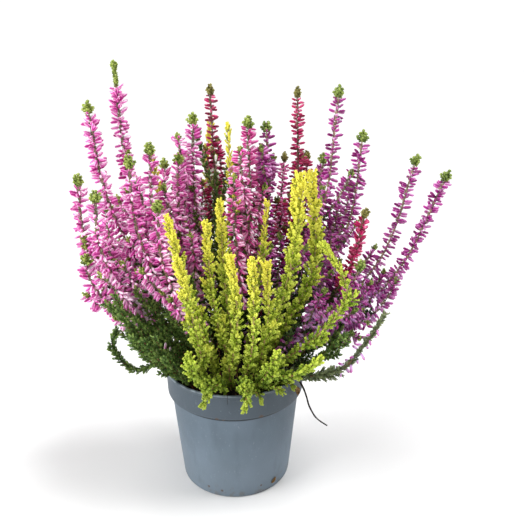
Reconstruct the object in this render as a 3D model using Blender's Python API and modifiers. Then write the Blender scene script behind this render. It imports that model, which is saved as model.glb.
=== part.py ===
"""Potted heather: heathers of five colours in one round nursery pot.

Blender 4.5. Origin at the centre of the pot's underside, +Z up, the front of the plant toward -Y.
Sizes are in millimetres here, and are turned into metres where meshes are made.
"""
import math

import bmesh
import bpy
import numpy as np
from mathutils import Euler, Matrix, Quaternion, Vector

MM = 0.001

# Pot
POT_HEIGHT = 107
RIM_RADIUS = 60
LIP_HEIGHT = 2.2
LIP_OVERHANG = 0.8
COLLAR_HEIGHT = 23
COLLAR_FOOT_RADIUS = 59.2
BODY_TOP_RADIUS = 56
BASE_RADIUS = 48
POT_WALL = 1.2
POT_FLOOR = 1.6
FLOOR_FILLET = 0.6
EDGE_BREAK = 0.5
BASE_ROUND = 1.5
POT_SIDES = 36
DRAIN_HOLES = 6
DRAIN_SLOT_LENGTH = 9
DRAIN_SLOT_WIDTH = 3.2
DRAIN_HOLE_CIRCLE = 36
DRAIN_HOLE_SIDES = 8

# Soil and the holes that the stems stand in
SOIL_LEVEL = 99
SOIL_DOME = 2
GAP = 0.3
HOLE_RADIUS = 2.7
HOLE_SIDES = 6
CUT_MARGIN = 3

# Stems: the core's radius, its stretch in the soil, and the room kept between stems
CORE_SIDES = 3
FOOT_RADIUS = 2.0
FOOT_DEPTH = 18
BARE_LENGTH = 7
UPRIGHT_START = 0.7
FOOT_PITCH = 10.4
FEET_RADIUS = 48
STEM_CLEARANCE = 0.9
SAMPLE_SPACING = 6
SPREAD_ROUNDS = 240
SPREAD_WEIGHTS = (0.55, 1.0)
NEIGHBOUR_REACH = 15

# Rings of the core and how far up the stem a leaf or bud leans
LEAF_STEP = 17
YELLOW_STEP = 13
BENT_STEP = 8.5
FLOWER_STEP = 12
TUFT_STEP = 8
LEAF_LIFT = 2.5
TIP_STRETCH = 10
CORE_SHARE = 0.42
CORE_RANGE = (0.9, 3.4)

POT_COLOUR = (0.20, 0.23, 0.27)
SOIL_COLOUR = (0.02, 0.014, 0.010)

# How each kind of stem is clothed. Buds and leaves stand out to the reach, the core is under them.
KINDS = {
    "pink": dict(colour=(0.66, 0.20, 0.42), flowers=0.60, tuft=18, reach=8.4, leaf_reach=4.6),
    "magenta": dict(colour=(0.62, 0.12, 0.36), flowers=0.52, tuft=12, reach=8.4, leaf_reach=4.6),
    "crimson": dict(colour=(0.45, 0.02, 0.13), flowers=0.55, tuft=11, reach=7.6, leaf_reach=4.4),
    "white": dict(colour=(0.80, 0.82, 0.76), flowers=0.50, tuft=8, reach=7.6, leaf_reach=4.4),
    "purple": dict(colour=(0.38, 0.08, 0.34), flowers=0.55, tuft=12, reach=8.0, leaf_reach=4.4),
    "yellow": dict(colour=(0.60, 0.66, 0.04), flowers=0.0, tuft=0, reach=0, leaf_reach=6.4),
    "green": dict(colour=(0.06, 0.12, 0.03), flowers=0.0, tuft=0, reach=0, leaf_reach=5.0),
    "root": dict(colour=(0.02, 0.015, 0.012), flowers=0.0, tuft=0, reach=0, leaf_reach=1.4),
}

# Where the stems stand: foot (x, y) in the soil, then points (x, y, z) that the stem passes, up to its tip.
STEMS = {
    "pink": [
        ((-30, 12), (-80, 14, 234), (-91, 16, 358)),
        ((-40, 4), (-96, 2, 236), (-110, 0, 329)),
        ((-46, -6), (-112, -10, 200), (-118, -14, 276)),
        ((-30, -16), (-70, -26, 224), (-73, -34, 293)),
        ((-18, -4), (-58, -14, 225), (-61, -16, 300)),
        ((-14, 8), (-42, 4, 215), (-42, 2, 290)),
        ((-10, 18), (-30, 18, 233), (-32, 20, 319)),
        ((-44, -18), (-94, -34, 202), (-98, -42, 269)),
        ((-48, -14), (-104, -30, 180), (-110, -40, 220)),
        ((-12, -18), (-50, -36, 198), (-53, -40, 262)),
        ((-24, 30), (-84, 48, 211), (-96, 60, 286)),
        ((-38, 22), (-104, 38, 185), (-116, 50, 240)),
        ((-20, 38), (-58, 52, 215), (-64, 64, 276)),
    ],
    "magenta": [
        ((-2, 4), (12, 2, 227), (13, 4, 318)),
    ],
    "crimson": [
        ((0, 26), (-15, 40, 231), (-20, 50, 339)),
        ((22, 16), (51, 24, 227), (52, 28, 338)),
        ((28, 24), (58, 34, 207), (62, 44, 285)),
        ((34, -10), (88, -20, 185), (103, -30, 253)),
        ((12, 20), (22, 30, 204), (24, 36, 272)),
        ((18, 38), (38, 56, 211), (44, 66, 281)),
    ],
    "white": [
        ((-8, 12), (-17, 18, 201), (-14, 24, 284)),
        ((-18, 24), (-28, 34, 191), (-26, 42, 251)),
        ((-8, 42), (-34, 64, 208), (-40, 74, 266)),
        ((6, 42), (0, 64, 208), (2, 78, 270)),
    ],
    "purple": [
        ((24, 4), (70, 8, 227), (84, 10, 340)),
        ((34, 0), (90, 2, 216), (103, 4, 307)),
        ((42, 0), (118, -2, 195), (146, 0, 289)),
        ((48, -8), (130, -10, 187), (169, -10, 278)),
        ((12, 6), (28, 12, 226), (27, 18, 313)),
        ((32, 10), (66, 20, 210), (75, 22, 287)),
        ((40, -14), (86, -30, 176), (101, -38, 214)),
        ((38, 26), (92, 48, 201), (103, 60, 268)),
        ((46, 14), (116, 36, 185), (140, 46, 234)),
        ((30, 36), (66, 62, 208), (76, 76, 266)),
    ],
    "yellow": [
        ((-14, -32), (-30, -50, 184), (-45, -52, 251)),
        ((-24, -38), (-26, -62, 164), (-37, -66, 224)),
        ((-4, -28), (-14, -40, 180), (-18, -42, 245)),
        ((2, -18), (-5, -30, 184), (-8, -32, 258)),
        ((0, -38), (6, -58, 166), (0, -60, 224)),
        ((10, -42), (17, -64, 169), (17, -66, 224)),
        ((16, -32), (28, -50, 163), (27, -52, 216)),
        ((10, -8), (23, -12, 204), (28, -12, 253)),
        ((20, -20), (46, -32, 202), (50, -34, 278)),
        ((30, -12), (64, -20, 199), (60, -18, 277)),
        ((32, -26), (74, -46, 160), (88, -46, 192), (67, -46, 230)),
        ((-10, -2), (0, -2, 225), (-3, 0, 311)),
    ],
    "green": [
        ((-40, -26), (-64, -46, 140), (-90, -60, 186)),
        ((-34, -34), (-48, -60, 130), (-64, -76, 164)),
        ((46, -12), (70, -30, 124), (92, -40, 152)),
        ((-6, 48), (-12, 78, 134), (-16, 98, 176)),
    ],
}

# Stems that lean or hang over the rim, which the others make room for: kind, foot, points
OVER_THE_RIM = {
    "green_loop": ("green", (-47, -14), (-62, -18, 114), (-83, -18, 106), (-101, -18, 126), (-96, -18, 146)),
    "purple_low": ("purple", (38, -32), (46, -39, 116), (59, -46, 116), (87, -46, 123), (104, -46, 145),
                   (120, -46, 174)),
    "yellow_front": ("yellow", (8, -48), (11, -62, 116), (12, -71, 112), (9, -76, 101)),
    "yellow_front_left": ("yellow", (-6, -48), (-12, -61, 118), (-18, -72, 113), (-21, -77, 106)),
    "yellow_low_left": ("yellow", (-18, -44), (-26, -61, 122), (-30, -69, 133), (-30, -72, 152)),
    "yellow_low_middle": ("yellow", (18, -42), (27, -58, 125), (37, -70, 152)),
    "yellow_low_right": ("yellow", (27, -40), (33, -46, 116), (43, -56, 122), (56, -64, 131), (70, -68, 146)),
    "root_over_rim": ("root", (45, -24), (49, -33, 109), (54, -37, 107), (59, -40, 98), (62, -43, 88),
                      (68, -46, 78), (77, -48, 72)),
}
ROOT_RADIUS = 0.9


def clear_scene():
    for item in list(bpy.data.objects):
        bpy.data.objects.remove(item, do_unlink=True)


def new_collection(name):
    collection = bpy.data.collections.new(name)
    bpy.context.scene.collection.children.link(collection)
    return collection


def add_object(name, mesh, collection):
    item = bpy.data.objects.new(name, mesh)
    collection.objects.link(item)
    return item


def principled(name, colour, roughness, metallic=0.0):
    material = bpy.data.materials.new(name)
    material.use_nodes = True
    shader = material.node_tree.nodes["Principled BSDF"]
    shader.inputs["Base Color"].default_value = (*colour, 1)
    shader.inputs["Roughness"].default_value = roughness
    shader.inputs["Metallic"].default_value = metallic
    return material


# Turned solids

def arc(centre, radius, start, end, steps):
    """Points of a round in the profile, from one angle in degrees to another."""
    angles = (math.radians(start + (end - start) * step / steps) for step in range(steps + 1))
    return [(centre[0] + radius * math.cos(a), centre[1] + radius * math.sin(a)) for a in angles]


def turned(name, profile, collection):
    """A solid of revolution. The profile of (radius, height) ends on the axis and runs down its outside."""
    mesh = bpy.data.meshes.new(name)
    points = [(radius * MM, 0, height * MM) for radius, height in profile]
    mesh.from_pydata(points, [(i, i + 1) for i in range(len(points) - 1)], [])
    item = add_object(name, mesh, collection)
    screw = item.modifiers.new("Turn", "SCREW")
    screw.steps = POT_SIDES
    screw.render_steps = POT_SIDES
    screw.use_merge_vertices = True
    screw.merge_threshold = 0.00001
    screw.use_normal_calculate = True
    return item


def pot_profile():
    top, collar = POT_HEIGHT, POT_HEIGHT - COLLAR_HEIGHT
    lip = RIM_RADIUS + LIP_OVERHANG
    inside = [(0, POT_FLOOR), (BASE_RADIUS - POT_WALL - FLOOR_FILLET, POT_FLOOR)]
    inside += [(BODY_TOP_RADIUS - POT_WALL, collar - POT_WALL)]
    inside += [(COLLAR_FOOT_RADIUS - POT_WALL, collar + POT_WALL)]
    inside += [(RIM_RADIUS - POT_WALL, top - LIP_HEIGHT / 2)]
    rim = arc((lip - POT_WALL, top - POT_WALL), POT_WALL, 150, 0, 4)
    outside = [(lip, top - LIP_HEIGHT), (RIM_RADIUS, top - LIP_HEIGHT - LIP_OVERHANG)]
    outside += [(COLLAR_FOOT_RADIUS, collar + EDGE_BREAK), (COLLAR_FOOT_RADIUS - EDGE_BREAK, collar)]
    outside += [(BODY_TOP_RADIUS, collar)]
    base = arc((BASE_RADIUS - BASE_ROUND, BASE_ROUND), BASE_ROUND, 0, -90, 3)
    return inside + rim + outside + base + [(0, 0)]


def soil_profile():
    collar = POT_HEIGHT - COLLAR_HEIGHT
    edge = COLLAR_FOOT_RADIUS - POT_WALL - GAP
    top = [(edge * share, SOIL_LEVEL + SOIL_DOME * (1 - share ** 2)) for share in (0, 0.5, 0.85, 1)]
    side = [(edge, collar + POT_WALL + GAP), (BODY_TOP_RADIUS - POT_WALL - GAP, collar - POT_WALL)]
    side += [(BASE_RADIUS - POT_WALL - FLOOR_FILLET - GAP, POT_FLOOR + GAP)]
    return top + side + [(0, POT_FLOOR + GAP)]


def cut(item, places, size, bottom, top, sides, cutters):
    """Cut an upright hole at each place. Its size is outward from the pot's middle, then across."""
    bm = bmesh.new()
    for x, y in places:
        made = bmesh.ops.create_cone(bm, cap_ends=True, segments=sides, radius1=0.5, radius2=0.5, depth=1)
        placed = Matrix.LocRotScale(Vector((x, y, (top + bottom) / 2)) * MM, Euler((0, 0, math.atan2(y, x))),
                                    Vector((*size, top - bottom)) * MM)
        bmesh.ops.transform(bm, matrix=placed, verts=made["verts"])
    mesh = bpy.data.meshes.new(item.name + "_holes")
    bm.to_mesh(mesh)
    bm.free()
    cutter = add_object(mesh.name, mesh, cutters)
    cutter.hide_render = True
    cutter.display_type = "WIRE"
    boolean = item.modifiers.new("Holes", "BOOLEAN")
    boolean.operation = "DIFFERENCE"
    boolean.object = cutter


def make_pot(collection, cutters):
    pot = turned("pot", pot_profile(), collection)
    turns = [math.tau * (hole + 0.5) / DRAIN_HOLES for hole in range(DRAIN_HOLES)]
    places = [(DRAIN_HOLE_CIRCLE * math.cos(turn), DRAIN_HOLE_CIRCLE * math.sin(turn)) for turn in turns]
    slot = (DRAIN_SLOT_LENGTH, DRAIN_SLOT_WIDTH)
    cut(pot, places, slot, -CUT_MARGIN, POT_FLOOR + CUT_MARGIN, DRAIN_HOLE_SIDES, cutters)
    pot.data.materials.append(principled("pot_plastic", POT_COLOUR, 0.5))


def make_soil(feet, collection, cutters):
    soil = turned("soil", soil_profile(), collection)
    bottom = SOIL_LEVEL - FOOT_DEPTH - GAP
    hole = (2 * HOLE_RADIUS, 2 * HOLE_RADIUS)
    cut(soil, feet, hole, bottom, SOIL_LEVEL + SOIL_DOME + CUT_MARGIN, HOLE_SIDES, cutters)
    soil.data.materials.append(principled("potting_soil", SOIL_COLOUR, 0.95))


# Paths of the stems

def smooth_path(foot, points):
    """Even points along a smooth curve that rises from the foot and passes the other points."""
    start = np.array((*foot, SOIL_LEVEL + SOIL_DOME + 1.0))
    knots = [start] + [np.array(point, float) for point in points]
    rise = UPRIGHT_START * np.linalg.norm(knots[1] - knots[0])
    knots = [start - (0, 0, rise)] + knots + [2 * knots[-1] - knots[-2]]
    steps = np.linspace(0, 1, 24, endpoint=False)[:, None]
    curve = []
    for a, b, c, d in zip(knots, knots[1:], knots[2:], knots[3:]):
        bend = 2 * a - 5 * b + 4 * c - d + steps * (3 * (b - c) + d - a)
        curve.append(b + 0.5 * steps * (c - a + steps * bend))
    return evenly(np.vstack(curve + [knots[-2]]), SAMPLE_SPACING)


def lengths_along(path):
    return np.concatenate([[0], np.cumsum(np.linalg.norm(np.diff(path, axis=0), axis=1))])


def evenly(path, spacing):
    along = lengths_along(path)
    places = np.linspace(0, along[-1], max(3, round(along[-1] / spacing) + 1))
    return np.stack([np.interp(places, along, path[:, axis]) for axis in range(3)], 1)


def reach_at(kind, along, length):
    """How far buds or leaves stand out from the stem's middle, at a distance along it."""
    style = KINDS[kind]
    flowers_from = length - style["tuft"] - style["flowers"] * length
    reach = np.full(len(along), style["leaf_reach"])
    if style["flowers"]:
        in_flower = (along > flowers_from) & (along < length - style["tuft"])
        swell = np.clip((along - flowers_from) / 25, 0, 1)
        swell = swell * np.clip((length - style["tuft"] - along) / 30 + 0.6, 0, 1)
        reach = np.where(in_flower, reach + (style["reach"] - reach) * swell, reach)
    reach = reach * np.clip(0.45 + (length - along) / 20, 0, 1)
    return np.where(along < BARE_LENGTH, FOOT_RADIUS + 0.6, reach)


def spread_feet(feet):
    """Move the feet apart in the soil, and keep them off the pot's wall."""
    feet = np.array(feet, float)
    for _ in range(SPREAD_ROUNDS):
        step = feet[:, None] - feet[None]
        far = np.linalg.norm(step, axis=2)
        short = np.where(far < FOOT_PITCH, FOOT_PITCH - far, 0)
        np.fill_diagonal(short, 0)
        feet += 0.2 * (short[..., None] * step / np.maximum(far, 0.01)[..., None]).sum(1)
        feet *= np.minimum(1, FEET_RADIUS / np.linalg.norm(feet, axis=1))[:, None]
    return [tuple(foot) for foot in feet]


def neighbours(points, owner, reach):
    """Pairs of points on different stems that lie near enough to meet soon, and the distance they need."""
    first, second = np.triu_indices(len(owner), 1)
    need = reach[first] + reach[second] + STEM_CLEARANCE
    step = points[first] - points[second]
    near = np.einsum("ij,ij->i", step, step) < (need + NEIGHBOUR_REACH) ** 2
    near &= owner[first] != owner[second]
    return first[near], second[near], need[near]


def spread_apart(stems):
    """Push neighbouring stems apart, level, until buds and leaves are clear of each other and of the pot."""
    owner = np.repeat(np.arange(len(stems)), [len(stem["path"]) for stem in stems])
    points = np.vstack([stem["path"] for stem in stems])
    along = [lengths_along(stem["path"]) for stem in stems]
    reach = np.concatenate([reach_at(stem["kind"], a, a[-1]) for stem, a in zip(stems, along)])
    moves = np.array([not stem["held"] for stem in stems])[owner]
    starts = np.flatnonzero(np.diff(np.append(-1, owner)))
    stretches = [slice(start, stop) for start, stop in zip(starts, np.append(starts[1:], len(owner)))]
    for turn in range(SPREAD_ROUNDS):
        if turn % 20 == 0:
            first, second, need = neighbours(points, owner, reach)
        step = points[first] - points[second]
        short = need - np.linalg.norm(step, axis=1)
        close = np.flatnonzero(short > 0)
        i, j = first[close], second[close]
        level = step[close, :2] / np.maximum(np.linalg.norm(step[close, :2], axis=1), 0.01)[:, None]
        push = 0.5 * short[close, None] * level * SPREAD_WEIGHTS
        shift = np.zeros((len(points), 2))
        np.add.at(shift, i, push * np.where(moves[j], 1, 2)[:, None])
        np.add.at(shift, j, -push * np.where(moves[i], 1, 2)[:, None])
        counts = np.bincount(np.append(i, j), minlength=len(points))
        shift *= (moves / np.maximum(counts, 1) ** 0.5)[:, None]
        for stretch in stretches:
            shift[stretch] = blurred(shift[stretch])
        points[:, :2] += shift
        hold_in_pot(points, reach, moves)
    for stem, stretch in zip(stems, stretches):
        stem["path"] = points[stretch]


def blurred(values):
    """Each value averaged with its neighbours along the stem, so that the stem bends without a kink."""
    padded = np.pad(values, ((2, 2), (0, 0)), mode="edge")
    weights = (0.1, 0.2, 0.4, 0.2, 0.1)
    return sum(weight * padded[offset:offset + len(values)] for offset, weight in enumerate(weights))


def hold_in_pot(points, reach, moves):
    """Keep each point inside the rim, as far as its height over the rim and its reach ask for."""
    room = reach + 1
    above = np.clip(points[:, 2] - POT_HEIGHT, 0, None)
    limit = RIM_RADIUS - POT_WALL - np.sqrt(np.clip(room ** 2 - above ** 2, 0, None))
    radius = np.linalg.norm(points[:, :2], axis=1)
    low = moves & (above < room) & (radius > limit)
    points[low, :2] *= (limit[low] / radius[low])[:, None]


# Meshes of the stems

def stations_of(kind, held, length):
    """Where the core has a ring, as distances along the stem. Below zero is in the soil."""
    style = KINDS[kind]
    leaf_step = BENT_STEP if held else YELLOW_STEP if kind == "yellow" else LEAF_STEP
    tuft_from = length - max(style["tuft"], TIP_STRETCH)
    flowers_from = length - style["tuft"] - style["flowers"] * length if style["flowers"] else tuft_from
    places = [0.0]
    stretches = [(BARE_LENGTH, flowers_from, leaf_step), (flowers_from, tuft_from, FLOWER_STEP)]
    stretches += [(tuft_from, length, TUFT_STEP)]
    for stretch_from, stretch_to, step in stretches:
        stretch = stretch_to - stretch_from
        count = max(1, round(stretch / step)) if stretch else 0
        places += [stretch_from + stretch * k / count for k in range(count)]
    return [place for place in places if place < length - 3] + [length - 2]


def core_radius(kind, along, length):
    reach = float(reach_at(kind, np.array([along]), length)[0])
    return float(np.clip(CORE_SHARE * reach, *CORE_RANGE)) if along > BARE_LENGTH else FOOT_RADIUS


def stem_mesh(stem):
    """A tapered core along the path, with each of its faces raised to the point of a bud or a leaf."""
    path = stem["path"]
    along = lengths_along(path)
    length = along[-1]
    stations = stations_of(stem["kind"], stem["held"], length)
    places = np.stack([np.interp(stations, along, path[:, axis]) for axis in range(3)], 1)
    bm = bmesh.new()
    bmesh.ops.create_cone(bm, cap_ends=True, segments=CORE_SIDES, radius1=FOOT_RADIUS * MM,
                          radius2=FOOT_RADIUS * MM, depth=FOOT_DEPTH * MM)
    foot = Vector(path[0]) * MM
    bmesh.ops.translate(bm, verts=bm.verts, vec=foot - Vector((0, 0, FOOT_DEPTH / 2 * MM)))
    end = max(bm.faces, key=lambda face: face.calc_center_median().z)
    buried = set(bm.faces) - {end}
    turn = Quaternion()
    ahead = Vector((0, 0, 1))
    for k in range(1, len(stations)):
        centre = Vector(places[k]) * MM
        way = Vector(places[min(k + 1, len(stations) - 1)] - places[k - 1]).normalized()
        turn = ahead.rotation_difference(way) @ turn
        ahead = way
        end = bmesh.ops.extrude_discrete_faces(bm, faces=[end])["faces"][0]
        radius = core_radius(stem["kind"], stations[k], length) * MM
        for corner, vert in enumerate(end.verts):
            angle = math.tau * corner / CORE_SIDES + math.pi / CORE_SIDES * k
            vert.co = centre + turn @ Vector((math.cos(angle), math.sin(angle), 0)) * radius
    sides = [face for face in bm.faces if face not in buried and face is not end]
    sides = bmesh.ops.triangulate(bm, faces=sides, quad_method="SHORT_EDGE")["faces"]
    raise_points(bm, sides, stem, along, length)
    tip = bmesh.ops.poke(bm, faces=[end])["verts"][0]
    tip.co = Vector(path[-1]) * MM
    mesh = bpy.data.meshes.new(stem["name"])
    bm.to_mesh(mesh)
    bm.free()
    return mesh


def raise_points(bm, sides, stem, along, length):
    path = stem["path"]
    clothed = []
    for face in sides:
        middle = np.array(face.calc_center_median()) / MM
        nearest = int(np.argmin(np.linalg.norm(path - middle, axis=1)))
        if along[nearest] > BARE_LENGTH + 3:
            clothed.append(face)
    raised = bmesh.ops.poke(bm, faces=clothed)["verts"]
    bm.normal_update()
    for vert in raised:
        middle = np.array(vert.co) / MM
        nearest = int(np.clip(np.argmin(np.linalg.norm(path - middle, axis=1)), 1, len(path) - 2))
        way = path[nearest + 1] - path[nearest - 1]
        way = way / np.linalg.norm(way)
        offset_along = (middle - path[nearest]) @ way
        normal = np.array(vert.normal)
        out = normal - (normal @ way) * way
        out = out / np.linalg.norm(out)
        place = along[nearest] + offset_along
        reach = float(reach_at(stem["kind"], np.array([place]), length)[0])
        vert.co = Vector(path[nearest] + way * (offset_along + LEAF_LIFT) + out * reach) * MM


def root_curve(stem):
    """A plain tube along the path and down into the soil."""
    curve = bpy.data.curves.new(stem["name"], "CURVE")
    curve.dimensions = "3D"
    curve.bevel_depth = ROOT_RADIUS * MM
    curve.bevel_resolution = 1
    curve.use_fill_caps = True
    foot = stem["path"][0] - (0, 0, FOOT_DEPTH)
    spline = curve.splines.new("POLY")
    spline.points.add(len(stem["path"]))
    for knot, point in zip(spline.points, [foot, *stem["path"]]):
        knot.co = (*(Vector(point) * MM), 1)
    return curve


def plan_stems():
    rows = [(f"{kind}_heather_{number:02d}", kind, foot, points, False) for kind, group in STEMS.items()
            for number, (foot, *points) in enumerate(group, 1)]
    rows += [(name, kind, foot, points, True) for name, (kind, foot, *points) in OVER_THE_RIM.items()]
    feet = spread_feet([foot for _, _, foot, _, _ in rows])
    stems = [dict(name=name, kind=kind, path=smooth_path(at, points), held=held)
             for (name, kind, _, points, held), at in zip(rows, feet)]
    spread_apart(stems)
    return stems


def main():
    clear_scene()
    parts = new_collection("potted_heather")
    cutters = new_collection("cutters")
    stems = plan_stems()
    materials = {kind: principled(kind + "_heather", style["colour"], 0.7) for kind, style in KINDS.items()}
    for stem in stems:
        shape = root_curve(stem) if stem["kind"] == "root" else stem_mesh(stem)
        item = add_object(stem["name"], shape, parts)
        item.data.materials.append(materials[stem["kind"]])
    make_pot(parts, cutters)
    make_soil([tuple(stem["path"][0][:2]) for stem in stems], parts, cutters)


main()
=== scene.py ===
import math
import random

import bmesh
import bpy
import numpy as np
from mathutils import Matrix, Quaternion, Vector, noise


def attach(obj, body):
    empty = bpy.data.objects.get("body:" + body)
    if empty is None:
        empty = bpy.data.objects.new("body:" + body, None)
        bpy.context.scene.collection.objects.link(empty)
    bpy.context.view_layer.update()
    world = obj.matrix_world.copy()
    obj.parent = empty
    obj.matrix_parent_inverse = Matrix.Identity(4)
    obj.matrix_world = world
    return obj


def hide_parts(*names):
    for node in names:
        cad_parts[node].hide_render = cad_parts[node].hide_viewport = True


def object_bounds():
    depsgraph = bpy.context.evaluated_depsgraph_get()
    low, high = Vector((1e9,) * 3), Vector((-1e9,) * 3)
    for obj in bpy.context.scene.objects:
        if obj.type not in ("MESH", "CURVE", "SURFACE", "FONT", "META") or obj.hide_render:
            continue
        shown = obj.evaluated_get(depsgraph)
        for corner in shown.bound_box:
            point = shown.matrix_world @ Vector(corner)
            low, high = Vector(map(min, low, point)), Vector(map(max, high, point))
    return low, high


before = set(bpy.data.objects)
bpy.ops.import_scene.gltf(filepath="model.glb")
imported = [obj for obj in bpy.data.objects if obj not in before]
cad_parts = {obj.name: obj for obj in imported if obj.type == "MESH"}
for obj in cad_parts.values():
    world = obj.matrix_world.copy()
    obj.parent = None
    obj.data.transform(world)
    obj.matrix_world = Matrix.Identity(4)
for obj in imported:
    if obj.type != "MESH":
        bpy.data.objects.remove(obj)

cad_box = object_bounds()

# Camera. It looks from the front at the height of the tallest flowers, a little to the right of the
# pot's middle, and down on the soil. Its lens takes in what the photograph does.
CAMERA_PLACE = (0.0236, -0.463, 0.3553)
LOOK_DOWN = 18.85
FOCAL_PIXELS = 591
PICTURE_PIXELS = 524
SENSOR_WIDTH = 36

scene = bpy.context.scene
camera_data = bpy.data.cameras.new("camera")
camera_data.sensor_width = SENSOR_WIDTH
camera_data.lens = SENSOR_WIDTH * FOCAL_PIXELS / PICTURE_PIXELS
camera = bpy.data.objects.new("camera", camera_data)
camera.location = CAMERA_PLACE
camera.rotation_euler = (math.radians(90 - LOOK_DOWN), 0, 0)
scene.collection.objects.link(camera)
scene.camera = camera

# Studio. A wide white floor under white air. Two broad soft lights hang overhead, the stronger to the right,
# so that the crown throws a pale shadow to each side of the pot. A lamp at the front left lights the buds.
MM = 0.001
AIR_STRENGTH = 0.19
HORIZON_STRENGTH = 1.1
HORIZON_BAND = (0.22, 0.42)
FLOOR_WIDTH = 60.0
FLOOR_WHITE = 0.76
OVERHEAD_SPREAD = 28
OVERHEADS = {"overhead_right": (25, 2.8), "overhead_left": (-20, 1.05)}
FRONT_PLACE = Vector((-1.25, -0.66, 0.7))
FRONT_WIDTH = 0.9
FRONT_POWER = 21
FRONT_LOOKS_AT = Vector((0, 0, 0.2))


class Term:
    """A socket in shader maths. An expression on it adds its Math nodes."""

    def __init__(self, nodes, socket):
        self.nodes = nodes
        self.socket = socket

    def math(self, operation, other):
        return self.nodes.node("Math", {"operation": operation}, {0: self, 1: other})

    def __add__(self, other):
        return self.math("ADD", other)

    def __sub__(self, other):
        return self.math("SUBTRACT", other)

    def __mul__(self, other):
        return self.math("MULTIPLY", other)


class Nodes:
    """The nodes of a material or of the world, in the making."""

    def __init__(self, owner):
        owner.use_nodes = True
        self.tree = owner.node_tree

    def node(self, kind, settings, sockets, output=0):
        made = self.tree.nodes.new("ShaderNode" + kind)
        for name, value in settings.items():
            setattr(made, name, value)
        for name, value in sockets.items():
            self.feed(made.inputs[name], value)
        return Term(self, made.outputs[output])

    def feed(self, socket, value):
        if isinstance(value, Term):
            self.tree.links.new(value.socket, socket)
        else:
            socket.default_value = value


class Finish(Nodes):
    """A material in the making: its one shader, and the nodes that feed it."""

    def __init__(self, name, **fixed):
        self.material = bpy.data.materials.new(name)
        super().__init__(self.material)
        self.shader = self.tree.nodes["Principled BSDF"]
        for socket, value in fixed.items():
            self.shader.inputs[socket.replace("_", " ")].default_value = value

    def paint(self, colour):
        self.feed(self.shader.inputs["Base Color"], colour)

    def gloss(self, roughness):
        self.feed(self.shader.inputs["Roughness"], roughness)

    def bump(self, height, depth):
        """Raises the surface by the height's share of a depth in millimetres."""
        raised = self.node("Bump", {}, {"Height": height, "Distance": depth * MM})
        self.feed(self.shader.inputs["Normal"], raised)

    def place(self, centre=(0, 0, 0), stretch=(1, 1, 1)):
        """Object coordinates in millimetres from a centre, stretched."""
        at = self.node("TexCoord", {}, {}, "Object")
        size = [part / MM for part in stretch]
        moved = [-part * wide for part, wide in zip(centre, stretch)]
        return self.node("Mapping", {}, {"Vector": at, "Location": moved, "Scale": size})

    def coordinate(self, axis, centre=(0, 0, 0)):
        """How far a point is from a centre along X, Y or Z, in millimetres."""
        return self.node("SeparateXYZ", {}, {0: self.place(centre)}, axis)

    def clouds(self, size, detail=2.0, stretch=(1, 1, 1)):
        """Soft noise from 0 to 1, with patches about so many millimetres wide."""
        sockets = {"Vector": self.place(stretch=stretch), "Scale": 1 / size, "Detail": detail}
        return self.node("TexNoise", {}, sockets, "Fac")

    def rise(self, value, low, high):
        """0 below low, 1 above high, and a smooth rise between."""
        settings = {"interpolation_type": "SMOOTHSTEP"}
        return self.node("MapRange", settings, {"Value": value, "From Min": low, "From Max": high})

    def mixed(self, first, second, share):
        """A colour between two colours."""
        return self.node("Mix", {"data_type": "RGBA"}, {0: share, 6: first, 7: second}, 2)

    def ramp(self, value, *stops):
        """A colour that changes with a value, through stops of (value, colour)."""
        made = self.node("ValToRGB", {}, {0: value})
        elements = made.socket.node.color_ramp.elements
        while len(elements) < len(stops):
            elements.new(0.5)
        for element, (place, colour) in zip(elements, stops):
            element.position = place
            element.color = colour
        return made

    def attribute(self, name):
        return self.node("Attribute", {"attribute_name": name}, {}, "Fac")


def rgb(red, green, blue):
    """A screen colour, 0 to 255, as the shader's linear colour."""
    parts = [part / 255 for part in (red, green, blue)]
    linear = [part / 12.92 if part < 0.04045 else ((part + 0.055) / 1.055) ** 2.4 for part in parts]
    return (*linear, 1)


def piece(name, bm, *finishes):
    """A finished piece from its bmesh, smooth except over sharp edges."""
    for face in bm.faces:
        face.smooth = True
    mesh = bpy.data.meshes.new(name)
    bm.to_mesh(mesh)
    bm.free()
    mesh.set_sharp_from_angle(angle=math.radians(40))
    for finish in finishes:
        mesh.materials.append(finish.material)
    item = bpy.data.objects.new(name, mesh)
    scene.collection.objects.link(item)
    return item


scene.view_settings.view_transform = "Standard"
scene.world = bpy.data.worlds.new("air")
air = Nodes(scene.world)
way_up = air.node("SeparateXYZ", {}, {0: air.node("TexCoord", {}, {}, "Generated")}, "Z")
fade = air.node("MapRange", {}, {"Value": way_up, "From Min": HORIZON_BAND[0], "From Max": HORIZON_BAND[1],
                                 "To Min": HORIZON_STRENGTH, "To Max": AIR_STRENGTH})
background = air.tree.nodes["Background"].inputs
air.feed(background["Color"], (1, 1, 1, 1))
air.feed(background["Strength"], fade)

floor_white = Finish("floor_white", Roughness=0.9)
floor_white.paint((FLOOR_WHITE, FLOOR_WHITE, FLOOR_WHITE, 1))
bm = bmesh.new()
bmesh.ops.create_grid(bm, x_segments=1, y_segments=1, size=FLOOR_WIDTH / 2)
piece("floor", bm, floor_white)

for name, (tilt, strength) in OVERHEADS.items():
    overhead = bpy.data.lights.new(name, "SUN")
    overhead.energy = strength
    overhead.angle = math.radians(OVERHEAD_SPREAD)
    lamp = bpy.data.objects.new(name, overhead)
    lamp.rotation_euler = (0, math.radians(tilt), 0)
    scene.collection.objects.link(lamp)
front_light = bpy.data.lights.new("front", "AREA")
front_light.size = FRONT_WIDTH
front_light.energy = FRONT_POWER
lamp = bpy.data.objects.new("front", front_light)
lamp.location = FRONT_PLACE
lamp.rotation_euler = (FRONT_LOOKS_AT - FRONT_PLACE).to_track_quat("-Z", "Y").to_euler()
scene.collection.objects.link(lamp)

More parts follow.
